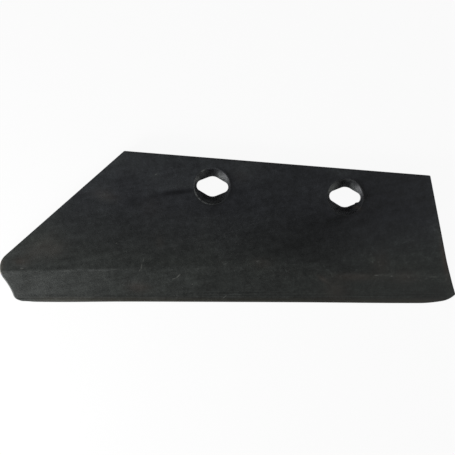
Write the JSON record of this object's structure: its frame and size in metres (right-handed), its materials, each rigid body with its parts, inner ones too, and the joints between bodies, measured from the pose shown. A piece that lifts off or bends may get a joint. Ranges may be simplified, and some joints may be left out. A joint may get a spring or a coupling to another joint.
{
  "type": "plough share",
  "caption": "Flat forged plough share: slanted nose, bevelled cutting edge on the soil face, and countersunk seats with nib slots for plough bolts along its top edge.",
  "frame": {"origin": "midway between the bolt seats' axes, on the flat back face", "axes": "+X along the line of the bolt seats towards the heel, +Y towards the straight top edge, +Z out of the bevelled soil face"},
  "size_m": [0.3591, 0.1245, 0.01],
  "materials": {
    "black_steel": "satin"
  },
  "bodies": {
    "root": {"share_blade": "black_steel"}
  },
  "joints": []
}
